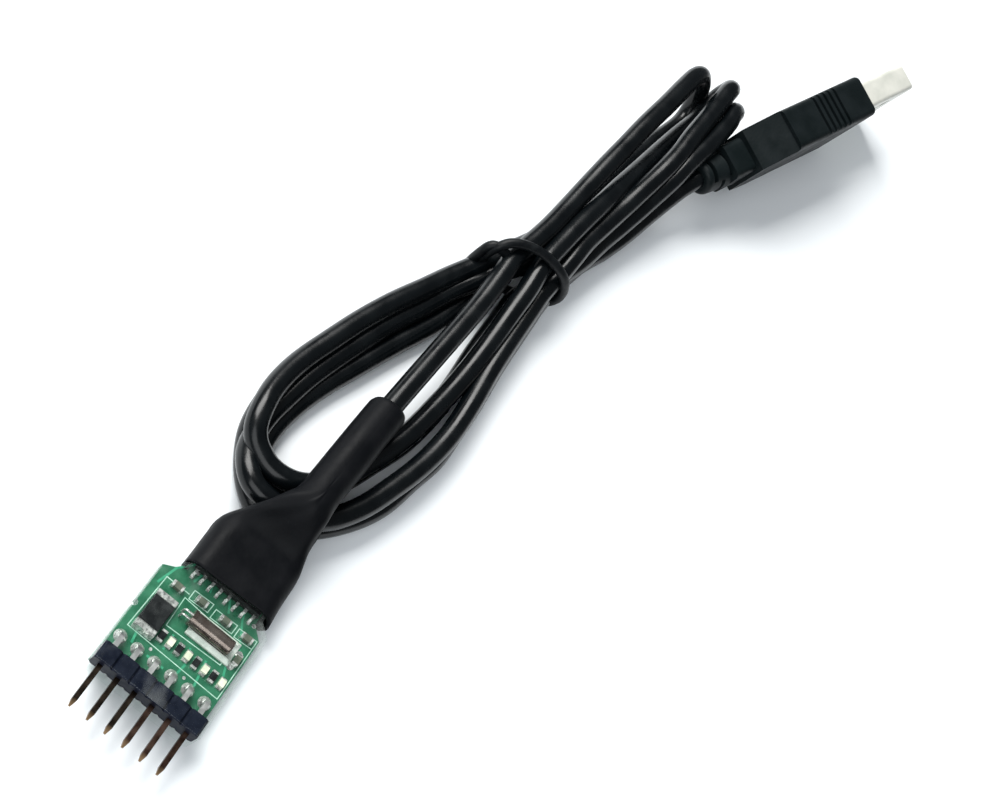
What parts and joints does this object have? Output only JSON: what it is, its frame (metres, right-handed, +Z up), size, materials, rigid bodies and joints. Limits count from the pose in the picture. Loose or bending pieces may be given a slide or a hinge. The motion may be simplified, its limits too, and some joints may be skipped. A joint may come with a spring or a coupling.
{
  "type": "usb to serial adapter module",
  "caption": "Serial adapter board in clear film with a right-angle pin header, a black shrink sleeve and a tied hank of lead ending in a flat plug.",
  "frame": {"origin": "under the middle of the module (the object without its lead and plug), at the table", "axes": "+X from the header pins towards the lead, +Y towards header pin 1, +Z up; the board lies level"},
  "size_m": [0.1727, 0.0545, 0.0153],
  "materials": {
    "board": "green solder mask, gloss",
    "strip": "moulded, satin",
    "pins": "plated, tarnished",
    "solder": "dull tin",
    "chip": "moulded, matt",
    "can": "drawn, bright",
    "glue": "amber bead",
    "resistor": "glazed",
    "led": "clear block",
    "capacitor": "ceramic",
    "film": "clear shrink film",
    "sleeve": "shrunk, satin",
    "wire": "insulated wire",
    "cable": "black jacket, gloss",
    "elastic": "matt",
    "plug": "moulded, satin",
    "shell": "plated, bright",
    "tongue": "moulded",
    "contact": "gilded"
  },
  "bodies": {
    "root": {"black_sleeve": "sleeve", "cable_hank": "cable", "cable_in": "cable", "cable_out": "cable", "capacitor_1": "capacitor", "capacitor_2": "capacitor", "capacitor_3": "capacitor", "capacitor_4": "capacitor", "capacitor_5": "capacitor", "capacitor_ends": "solder", "chip_leads": "solder", "circuit_board": "board", "clear_film": "film", "converter_chip": "chip", "crystal_can": "can", "crystal_glue": "glue", "crystal_leads": "solder", "hank_tie": "elastic", "header_pin_1": "pins", "header_pin_2": "pins", "header_pin_3": "pins", "header_pin_4": "pins", "header_pin_5": "pins", "header_pin_6": "pins", "header_solder": "solder", "header_strip": "strip", "led_1": "led", "led_2": "led", "led_3": "led", "led_4": "led", "led_ends": "solder", "plug_body": "plug", "plug_contact_1": "contact", "plug_contact_2": "contact", "plug_contact_3": "contact", "plug_contact_4": "contact", "plug_shell": "shell", "plug_tongue": "tongue", "resistor_1": "resistor", "resistor_2": "resistor", "resistor_3": "resistor", "resistor_4": "resistor", "resistor_ends": "solder", "shunt_ends": "solder", "shunt_resistor": "resistor", "wire_1": "wire", "wire_2": "wire", "wire_3": "wire", "wire_4": "wire", "wire_solder": "solder"}
  },
  "joints": []
}
